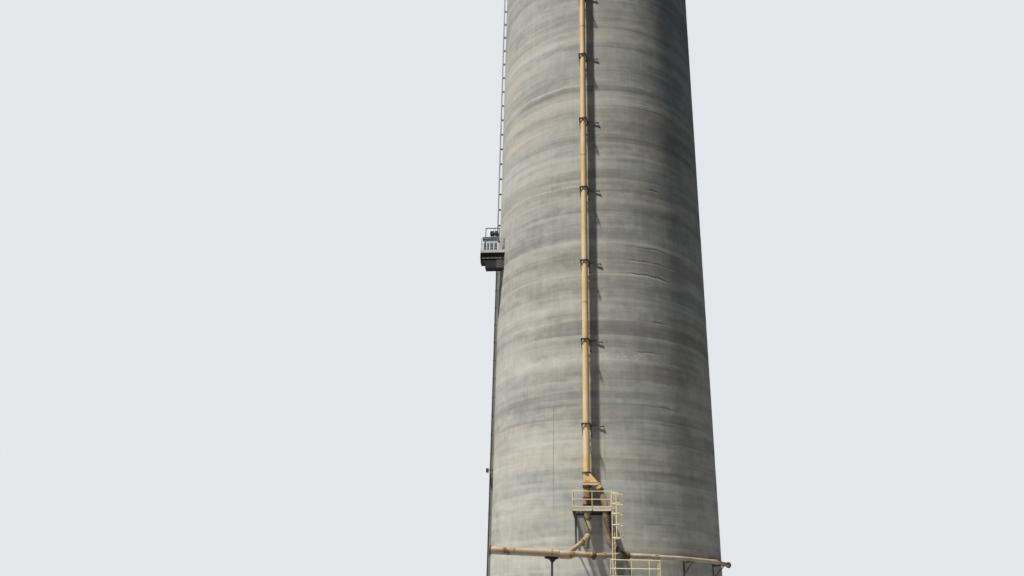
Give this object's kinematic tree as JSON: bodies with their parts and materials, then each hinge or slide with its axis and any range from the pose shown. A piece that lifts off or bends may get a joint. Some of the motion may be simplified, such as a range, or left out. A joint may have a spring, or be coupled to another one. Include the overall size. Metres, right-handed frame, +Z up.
{
  "type": "concrete silo, 1:2 scale model",
  "caption": "Tall round concrete silo with a clamped filling riser, diverter, branch pipes, header, railed platforms, a caged ladder, a cable tray and a side landing, at 1:2 scale.",
  "frame": {"origin": "centre of the silo's base, on the ground", "axes": "+Z up along the silo's axis, -Y towards the front with the riser and platforms, +X to the right"},
  "size_m": [9.311, 9.7581, 32.9634],
  "materials": {
    "concrete": "cast concrete, weathered",
    "tan_paint": "tan paint, faded",
    "pale_tan_paint": "pale tan paint, faded and rust-marked",
    "rusty_steel": "rusted",
    "cream_paint": "cream yellow paint",
    "deck_paint": "blue-grey paint with cream edges",
    "dark_steel": "dark grey paint",
    "galvanised_steel": "galvanised, dull"
  },
  "bodies": {
    "root": {"wall_segment_1": "concrete", "wall_segment_2": "concrete", "wall_segment_3": "concrete", "wall_segment_4": "concrete", "wall_segment_5": "concrete", "wall_segment_6": "concrete", "wall_segment_7": "concrete", "wall_segment_8": "concrete", "floor_slab": "concrete", "roof_slab": "concrete", "roof_guardrail": "cream_paint", "riser_pipe_1": "tan_paint", "riser_pipe_2": "tan_paint", "riser_pipe_3": "tan_paint", "riser_pipe_4": "tan_paint", "riser_gooseneck": "tan_paint", "riser_bracket_1": "rusty_steel", "riser_bracket_2": "rusty_steel", "riser_bracket_3": "rusty_steel", "riser_bracket_4": "rusty_steel", "riser_bracket_5": "rusty_steel", "riser_bracket_6": "rusty_steel", "riser_bracket_7": "rusty_steel", "riser_bracket_8": "rusty_steel", "riser_bracket_9": "rusty_steel", "diverter": "tan_paint", "left_valve": "rusty_steel", "left_branch_pipe": "pale_tan_paint", "header_pipe": "pale_tan_paint", "right_branch_pipe": "pale_tan_paint", "right_wye": "rusty_steel", "header_link_pipe": "pale_tan_paint", "wall_pipe": "pale_tan_paint", "wall_pipe_bracket_1": "rusty_steel", "wall_pipe_bracket_2": "rusty_steel", "header_post": "dark_steel", "upper_deck": "deck_paint", "upper_rail_front": "cream_paint", "upper_rail_left": "cream_paint", "upper_bracket_left": "dark_steel", "upper_bracket_right": "dark_steel", "lower_deck": "deck_paint", "lower_rail_front": "cream_paint", "lower_rail_right": "cream_paint", "lower_legs": "dark_steel", "ladder": "cream_paint", "ladder_cage": "cream_paint", "cable_tray": "galvanised_steel", "cable_duct": "galvanised_steel", "wall_floodlight": "dark_steel", "landing_deck": "dark_steel", "landing_rail_front": "galvanised_steel", "landing_rail_back": "galvanised_steel", "landing_bracket": "dark_steel", "landing_light_frame": "dark_steel"}
  },
  "joints": []
}
